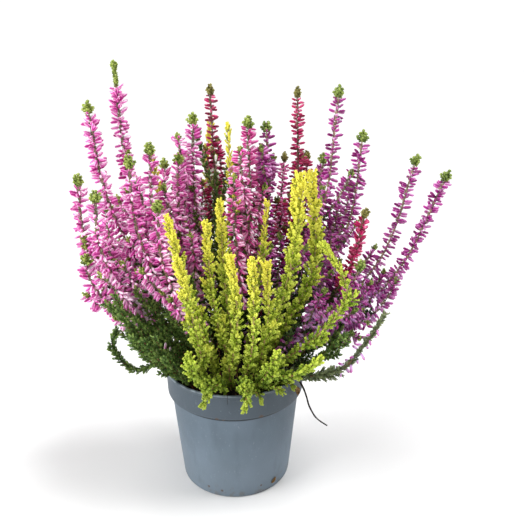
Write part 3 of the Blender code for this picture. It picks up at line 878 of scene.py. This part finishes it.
# A habit is how a kind grows, in millimetres and degrees. flowers is how much of the stem its buds take up,
# cluster how many of them may stand together, loose how far they scatter and out how far off the stem they
# are. lean is their angle to it at the foot and the top of the spike, taper the length over which they get
# small at the top, and zone how far up the spike its branches may start.
pink_habit = dict(
    bud=bud_of(6.4, 1.28, 1.6), cluster=(2, 2, 3, 3, 4), loose=0.9, out=1.2, flowers=0.56, tuft=14,
    tuft_width=1.5, pitch=3.7, lean=(130, 64), size=(0.85, 1.15), taper=16, branches=5, zone=0.45,
    branch_length=(32, 62), twigs=8, twig_length=(20, 46), shoot_pitch=2.15, side_tuft=(3, 3, 1),
    offshoot_bare=8, head=12)
pink_wood = wood_finish("pink_wood", rgb(164, 128, 112), rgb(138, 84, 60))
pink_leaf = leaf_finish("pink_leaf", rgb(32, 50, 18), rgb(82, 112, 44), rgb(150, 174, 88))
pink_bract = leaf_finish("pink_bract", rgb(74, 80, 56), rgb(120, 124, 96), rgb(166, 164, 138))
pink_bud = bud_finish("pink_bud", rgb(88, 76, 54), rgb(170, 28, 122), rgb(236, 110, 198), rgb(255, 236, 249),
                      rgb(255, 228, 246))
pink_tuft = leaf_finish("pink_tuft", rgb(54, 66, 16), rgb(106, 124, 44), rgb(166, 182, 90))
PINK_HABITS = {
    1: dict(tuft=24, head=9, tuft_width=0.9, pitch=3.1, cluster=(2, 3, 3, 4), branches=4, zone=0.2),
    2: dict(twigs=5, pitch=3.2, cluster=(2, 3, 3, 4), branches=3, zone=0, branch_length=(24, 44)),
    3: dict(twigs=16, shoot_pitch=1.7), 4: dict(twigs=12, shoot_pitch=1.8), 5: dict(twigs=5),
    6: dict(twigs=4, branches=7, zone=0.6), 7: dict(twigs=3, branches=8, zone=0.6),
    8: dict(twigs=16, shoot_pitch=1.7), 9: dict(twigs=14, shoot_pitch=1.7), 10: dict(tuft=15),
    12: dict(twigs=7), 13: dict(twigs=4),
}
for number in range(1, 14):
    heather("pink", number, {**pink_habit, **PINK_HABITS.get(number, {})}, pink_wood, pink_leaf, pink_bud,
            pink_tuft, pink_bract)

# Magenta heather. A single tall stem from the middle of the pot, redder than the pink round it, with its
# buds packed close and a green tip.
magenta_habit = dict(
    pink_habit, bud=bud_of(6.4, 1.15, 1.6), flowers=0.52, branches=9, branch_length=(36, 72), lean=(134, 70),
    offshoots=[[(8, -4, 160), (4, -8, 200), (2, -9, 238), (3, -8, 274)]])
magenta_bud = bud_finish("magenta_bud", rgb(84, 68, 48), rgb(162, 24, 104), rgb(234, 94, 178),
                         rgb(255, 226, 247), rib_highlight=0.5)
heather("magenta", 1, magenta_habit, pink_wood, pink_leaf, magenta_bud, pink_tuft, pink_bract)

# Crimson heather. It stands at the back and right of the middle. Its buds stand level in pairs with a gap
# between them, so that the stem shows, and its tips are a brownish green.
crimson_habit = dict(
    pink_habit, bud=bud_of(5.8, 1.15, 1.8), cluster=(1, 1, 1, 2), loose=0.8, out=0.9, flowers=0.52, tuft=13,
    tuft_width=1.1, pitch=2.4, lean=(96, 76), size=(0.8, 1.1), taper=14, branches=4, zone=0.3,
    branch_length=(30, 54), twigs=5, twig_length=(20, 44), shoot_pitch=2.3, side_tuft=(3, 2, 1))
crimson_wood = wood_finish("crimson_wood", rgb(134, 96, 84), rgb(104, 62, 50))
crimson_leaf = leaf_finish("crimson_leaf", rgb(30, 42, 18), rgb(66, 84, 34), rgb(114, 130, 60))
crimson_bract = leaf_finish("crimson_bract", rgb(66, 58, 42), rgb(104, 92, 70), rgb(146, 130, 104))
crimson_bud = bud_finish("crimson_bud", rgb(58, 46, 34), rgb(112, 2, 48), rgb(198, 18, 98),
                         rgb(243, 140, 184), rib_highlight=0.36)
crimson_tuft = leaf_finish("crimson_tuft", rgb(46, 42, 14), rgb(94, 90, 38), rgb(150, 144, 78))
CRIMSON_HABITS = {
    1: dict(branches=8, zone=0.5, branch_length=(36, 66)), 2: dict(branches=5, zone=0.45),
    4: dict(branches=0, flowers=0.36, pitch=2.1, cluster=(2, 2, 3), lean=(84, 56), out=0.7),
    5: dict(branches=8, flowers=0.74, offshoots=[
        [(27, 20, 190), (30, 20, 212), (35, 20, 233), (37, 20, 251)],
        [(24, 28, 188), (24, 30, 212), (24, 32, 238), (27, 33, 259)]]),
    6: dict(branches=7, flowers=0.72, zone=0.6, branch_length=(28, 46), cluster=(1, 2, 2)),
}
for number in range(1, 7):
    buds = magenta_bud if number == 6 else crimson_bud
    heather("crimson", number, {**crimson_habit, **CRIMSON_HABITS.get(number, {})}, crimson_wood,
            crimson_leaf, buds, crimson_tuft, crimson_bract)

# White heather. Most of it stands hidden behind the others, and its creamy white buds show only as bright
# specks between them.
white_habit = dict(
    pink_habit, bud=bud_of(6.0, 1.25, 1.4), cluster=(1, 1, 2), flowers=0.3, tuft=8, tuft_width=0.8, pitch=4.8,
    branches=1, branch_length=(24, 44), twigs=6, twig_length=(28, 60), shoot_pitch=2.6)
WHITE_HABITS = {1: dict(flowers=0.05, shoot_pitch=1.5, twigs=9, branches=0), 2: dict(flowers=0.24)}
white_bud = bud_finish("white_bud", rgb(150, 164, 104), rgb(226, 232, 206), rgb(252, 252, 248),
                       rgb(255, 255, 255))
for number in range(1, 5):
    heather("white", number, {**white_habit, **WHITE_HABITS.get(number, {})}, pink_wood, pink_leaf, white_bud,
            pink_tuft, pink_bract)

# Purple heather. It fans out low to the right. Its slender buds stand level in pairs on tan stems, and the
# air shows between them. One stem lies over the rim and turns up again.
LOW_SPIKE = 66

purple_habit = dict(
    pink_habit, bud=bud_of(5.8, 1.15, 1.7), cluster=(1, 1, 2), out=1.1, flowers=0.54, tuft_width=1.4,
    pitch=2.4, lean=(102, 72), size=(0.85, 1.2), taper=14, zone=0.4, branch_length=(30, 58), twigs=5,
    twig_length=(18, 40), shoot_pitch=2.2, side_tuft=(3, 2, 1), offshoot_bare=6)
purple_wood = wood_finish("purple_wood", rgb(182, 144, 126), rgb(128, 88, 70))
purple_leaf = leaf_finish("purple_leaf", rgb(28, 42, 22), rgb(60, 84, 42), rgb(112, 134, 76))
purple_bract = leaf_finish("purple_bract", rgb(88, 88, 66), rgb(140, 134, 108), rgb(190, 180, 152))
purple_bud = bud_finish("purple_bud", rgb(80, 68, 48), rgb(112, 10, 88), rgb(182, 50, 152),
                        rgb(240, 182, 232), rgb(232, 190, 246), rib_highlight=0.46)
purple_tuft = leaf_finish("purple_tuft", rgb(44, 64, 22), rgb(92, 114, 42), rgb(150, 168, 84))
PURPLE_HABITS = {
    2: dict(branches=6, zone=0.3, branch_length=(24, 42)),
    3: dict(branches=2, zone=0, branch_length=(14, 24)),
    4: dict(branches=6, zone=0, branch_length=(18, 36), flowers=0.6, pitch=2.2, cluster=(1, 2, 2), offshoots=[
        [(73, -8, 133), (97, -12, 144), (116, -14, 157), (128, -14, 174), (134, -14, 192)],
        [(85, -4, 148), (104, -4, 160), (118, -4, 177), (126, -4, 195)],
        [(74, -14, 142), (90, -18, 149), (104, -20, 152), (115, -22, 149)],
        [(70, -22, 135), (84, -26, 142), (97, -28, 143), (108, -30, 141)],
        [(71, -10, 147), (87, -10, 167), (98, -10, 180)],
        [(71, -4, 152), (79, -4, 167), (88, -4, 179), (94, -4, 193)],
        [(80, -16, 148), (91, -18, 162), (99, -18, 174), (105, -18, 187)],
        [(94, -22, 155), (101, -24, 169), (107, -24, 180), (112, -24, 193)],
        [(68, 2, 153), (75, 2, 164), (82, 2, 175), (86, 2, 188)]]),
    5: dict(branches=6, zone=0.75, branch_length=(28, 44), flowers=0.7, offshoots=[
        [(35, 10, 153), (37, 12, 175), (39, 14, 198), (38, 14, 221)]]),
    6: dict(branches=7, flowers=0.68), 7: dict(branches=8, flowers=0.72),
    8: dict(branches=7, zone=0.4, flowers=0.6, share=0.82, offshoots=[
        [(79, 10, 194), (82, 10, 215), (85, 10, 234), (86, 10, 251)]]),
    9: dict(branches=3, flowers=0.7, tuft=10, share=0.68), 10: dict(branches=7, flowers=0.68),
}
for number in range(1, 11):
    heather("purple", number, {**purple_habit, **PURPLE_HABITS.get(number, {})}, purple_wood, purple_leaf,
            purple_bud, purple_tuft, purple_bract)

# The stem over the rim: greyer leaves, large low down, and single buds that stand well off it
low_habit = dict(purple_habit, lean=(112, 100), pitch=5.5, out=2.4, cluster=(1,))
low_leaf = leaf_finish("purple_low_leaf", rgb(62, 72, 46), rgb(102, 116, 76), rgb(150, 158, 116))
plant = Plant("purple_low", "purple_spray_11")
stem = plant.stem
plant.shoots(stem, FOOT_SUNK + 3, LOW_SPIKE, 1.3, (40, 58), (1.35, 1.8))
plant.shoots(stem, LOW_SPIKE, stem.length - 4, 1.3, (30, 44), (0.85, 1.1))
plant.buds(stem, LOW_SPIKE + 2, stem.length - 12, low_habit)
plant.tuft(stem, stem.length - 6, stem.length - 1, 0.6)
plant.done("purple_heather", purple_wood, low_leaf, purple_bud, low_leaf, low_leaf)

# Yellow heather. It is grown for its foliage and bears no buds: stems closed from the soil to the tip by
# short shoots of fleshy leaves, lime green low down and bright yellow on top. Some hang over the rim.
USUAL_FULLNESS = 1.15
YELLOW_FULLNESS = {"yellow_heather_08": 0.75, "yellow_heather_09": 1.5, "yellow_heather_10": 1.5,
                   "yellow_heather_11": 1.0, "yellow_heather_12": 0.75}
YELLOW_BARE = {"yellow_heather_12": 168}
YELLOW_HEAD = 34
STEM_PER_SIDE = 32
# The low ones, all of them lime green, with how many side stems each has
LOW_YELLOWS = {"yellow_front": 8, "yellow_front_left": 4, "yellow_low_left": 2, "yellow_low_middle": 3,
               "yellow_low_right": 3}
# Further stems, through these places. One that starts at the soil is a stem of its own.
YELLOW_STEMS = {
    "yellow_front": [
        [(2, -36, 94), (-2, -40, 110), (-8, -42, 122)], [(14, -38, 94), (16, -42, 112), (19, -44, 126)],
        [(30, -34, 94), (37, -38, 106), (46, -43, 108), (50, -46, 103)],
        [(8, -40, 94), (12, -48, 106), (18, -56, 110)]],
    "yellow_heather_12": [
        [(-24, 2, 94), (-41, -4, 138), (-55, 22, 182), (-64, 34, 237), (-69, 34, 284)],
        [(-16, 8, 94), (-26, 20, 140), (-38, 30, 189), (-44, 40, 240), (-45, 44, 281)],
        [(-14, 18, 94), (-22, 36, 158), (-25, 48, 211), (-25, 56, 264), (-23, 58, 290), (-20, 59, 308)]],
    "yellow_heather_09": [
        [(34, -26, 150), (41, -31, 182), (46, -34, 209), (50, -36, 235), (53, -37, 258), (54, -37, 274)]],
    "yellow_low_middle": [
        [(18, -40, 94), (24, -46, 106), (33, -54, 112), (41, -56, 106)],
        [(8, -44, 94), (14, -52, 107), (20, -61, 110), (24, -64, 102)]],
}
FURTHER_THICK = 0.9
FURTHER_THIN = 0.4
FURTHER_LONG = 100

fleshy_leaf = ball_shape([(0, 0), (1.4, 1.12), (2.2, 0)], 3, flat=0.85)
yellow_sprigs = [sprig_shape(fleshy_leaf, pairs, 1.25, (24, 6), (1.0, 0.95), shape_dice)
                 for pairs in (4, 4, 5)]
shade_sprigs = [sprig_shape(broad_leaf, 3, 1.4, (40, 12), (1.0, 0.85), shape_dice, BUD)]
yellow_wood = wood_finish("yellow_wood", rgb(190, 168, 112), rgb(150, 118, 74))
yellow_leaf = leaf_finish("yellow_leaf", rgb(86, 106, 12), rgb(142, 168, 36), rgb(212, 224, 92),
                          rgb(236, 228, 84))
lime_leaf = leaf_finish("lime_leaf", rgb(48, 74, 10), rgb(122, 154, 34), rgb(190, 210, 76), rgb(206, 216, 76))
yellow_nodes = [f"yellow_heather_{number:02d}" for number in range(1, 13)] + list(LOW_YELLOWS)
for number, node in enumerate(yellow_nodes, 1):
    plant = Plant(node, f"yellow_spray_{number:02d}")
    stem = plant.stem
    full = YELLOW_FULLNESS.get(node, USUAL_FULLNESS)
    head = min(YELLOW_HEAD, stem.length * 0.3)
    foot = FOOT_SUNK + 2
    bare = YELLOW_BARE.get(node, foot)
    lean = (26, 46) if full > 1.4 else (20, 42)
    plant.shoots(stem, bare, stem.length - head, 2.6, (34, 54), (0.85 * full, 1.15 * full), yellow_sprigs)
    plant.shoots(stem, stem.length - head, stem.length - 6, 2.0, lean, (0.84 * full, 1.08 * full),
                 yellow_sprigs)
    plant.shoots(stem, stem.length - 6.5, stem.length - 4.5, 1.3, (6, 22), (0.8, 1.0), yellow_sprigs)
    sides = LOW_YELLOWS.get(node, round(stem.length / STEM_PER_SIDE))
    for side, _ in plant.side_stems(sides, (FOOT_SUNK + 4, stem.length * 0.7), (10, 22), (24, 42)):
        plant.shoots(side, 2, side.length - 3, 2.4, (30, 52), (0.85, 1.15), yellow_sprigs)
        plant.shoots(side, side.length - 5, side.length - 3.4, 1.3, (4, 18), (0.75, 0.9), yellow_sprigs)
    for places in YELLOW_STEMS.get(node, ()):
        if places[0][2] > SOIL_EDGE:
            side = plant.offshoot(places)
        else:
            side = Stem([Vector(place) * MM for place in places])
            plant.wood(side, FURTHER_THICK, FURTHER_THIN)
        start = side.length * 0.5 if side.length > FURTHER_LONG else 4
        plant.shoots(side, start, side.length - 5, 2.4, (22, 44), (0.75, 1.0), yellow_sprigs)
        plant.shoots(side, side.length - 5.5, side.length - 4, 1.3, (4, 18), (0.75, 0.9), yellow_sprigs)
    if bare > foot:
        plant.shoots(stem, foot, bare, 2.4, (24, 46), (0.8, 1.1), shade_sprigs)
    lime = node in LOW_YELLOWS or node == "yellow_heather_11"
    plant.done("yellow_heather", yellow_wood, lime_leaf if lime else yellow_leaf, pink_leaf)

# Green heather. Shoots without buds at the left, right and back, dark green on red-brown stems. One of them
# loops down over the rim at the left and up again.
GREEN_SIDES = {"green_heather_01": 18, "green_heather_02": 14, "green_heather_03": 12, "green_heather_04": 8,
               "green_loop": 0}
GREEN_SIZE = (0.85, 1.2)
LOOP_SIZE = (1.1, 1.6)
GREEN_SHOOTS = {
    "green_heather_01": [[(-55, -24, 108), (-62, -30, 126), (-70, -34, 141), (-78, -36, 149)],
                         [(-49, -20, 111), (-53, -26, 139), (-58, -30, 160)],
                         [(-70, -20, 125), (-81, -24, 139), (-91, -26, 155)]],
    "green_heather_03": [[(52, -20, 119), (67, -22, 129), (81, -24, 139), (89, -24, 154)]],
}

green_wood = wood_finish("green_wood", rgb(130, 84, 62), rgb(112, 62, 48))
green_leaf = leaf_finish("green_leaf", rgb(32, 50, 18), rgb(82, 114, 46), rgb(150, 174, 90))
for number, (node, sides) in enumerate(GREEN_SIDES.items(), 1):
    plant = Plant(node, f"green_spray_{number:02d}")
    stem = plant.stem
    size = LOOP_SIZE if node == "green_loop" else GREEN_SIZE
    plant.shoots(stem, FOOT_SUNK + 2, stem.length - 3, 1.6, (28, 54), size)
    plant.shoots(stem, stem.length - 4, stem.length - 2, 1.4, (6, 24), (0.7, 0.9))
    for side, _ in plant.side_stems(sides, (FOOT_SUNK + 4, stem.length * 0.85), (12, 30), (28, 50)):
        plant.shoots(side, 2, side.length - 1, 1.8, (28, 54), (0.8, 1.1))
    for places in GREEN_SHOOTS.get(node, ()):
        side = plant.offshoot(places)
        plant.shoots(side, 2, side.length - 1, 1.6, (28, 50), GREEN_SIZE)
    plant.done("green_heather", green_wood, green_leaf)

# Root strand. One thin black root has grown out over the rim and dried there, hanging in a loose bend.
ROOT_THICK = 0.95
ROOT_THIN = 0.55

root_line = Stem(middle_line("root_over_rim"))
root_curve = round_curve("root_strand", MM, 2)
line = root_curve.splines.new("POLY")
line.points.add(len(root_line.points) - 1)
dice = random.Random(3)
for index, (made, point) in enumerate(zip(line.points, root_line.points)):
    made.co = (*(point * MM), 1)
    share = index / (len(root_line.points) - 1)
    made.radius = (ROOT_THICK + (ROOT_THIN - ROOT_THICK) * share) * dice.uniform(0.85, 1.12)
bm = bmesh.new()
bm.from_mesh(tube_mesh(root_curve))
root_bark = Finish("root", Specular_IOR_Level=0.15)
fibres = root_bark.clouds(1.4, 3, (1, 1, 0.4))
root_bark.paint(root_bark.ramp(fibres, (0.3, rgb(14, 12, 12)), (0.7, rgb(52, 44, 40))))
root_bark.gloss(0.85)
root_bark.bump(fibres, 0.3)
root = piece("root_strand", bm, root_bark)
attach(root, "root")
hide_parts("root_over_rim")

# Dead leaf. A scrap of brown leaf that has dried and curled, caught on the rim beside the root strand. A
# second scrap clings to the foot of the pot.
LEAF_LENGTH = 11
LEAF_WIDTH = 6
LEAF_THICK = 0.35
LEAF_CURL = 1.9
LEAF_POINTED = 2.4
LEAF_RAGGED = 0.25
LEAF_SAG = 1.6
# Where each scrap is, its size and its turn
SCRAPS = [((51.6, -34.4, 96.5), 1.0, 0.5), ((33.2, -35.6, 8.5), 0.55, 2.2)]

dry = Finish("dead_leaf", Specular_IOR_Level=0.2)
spots = dry.clouds(2.2, 4)
dry.paint(dry.ramp(spots, (0.3, rgb(64, 46, 28)), (0.5, rgb(128, 98, 62)), (0.75, rgb(182, 158, 112))))
dry.gloss(0.9)
dry.bump(spots, 0.5)
bm = bmesh.new()
for centre, size, turn in SCRAPS:
    scrap = bmesh.ops.create_grid(bm, x_segments=6, y_segments=10, size=0.5)["verts"]
    for vert in scrap:
        across, along = vert.co.x, vert.co.y
        bend = across * LEAF_CURL
        ragged = 1 + LEAF_RAGGED * noise.noise((along * 6, across * 6, size))
        half = LEAF_WIDTH * (1 - LEAF_POINTED * along * along) * ragged
        vert.co = (math.sin(bend) * half / LEAF_CURL,
                   (1 - math.cos(bend)) * half + LEAF_SAG * along * along, along * LEAF_LENGTH)
    outward = Vector((centre[0], centre[1], 0)).to_track_quat("Y", "Z").to_matrix().to_4x4()
    lie = Matrix.Rotation(turn, 4, outward.to_3x3() @ Vector((0, 1, 0)))
    place = Matrix.Translation(Vector(centre) * MM) @ lie @ outward @ Matrix.Scale(size * MM, 4)
    bmesh.ops.transform(bm, matrix=place, verts=scrap)
bmesh.ops.solidify(bm, geom=bm.faces[:], thickness=LEAF_THICK * MM)
bmesh.ops.recalc_face_normals(bm, faces=bm.faces)
dead_leaf = piece("dead_leaf", bm, dry)
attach(dead_leaf, "root")
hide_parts("root_over_rim")
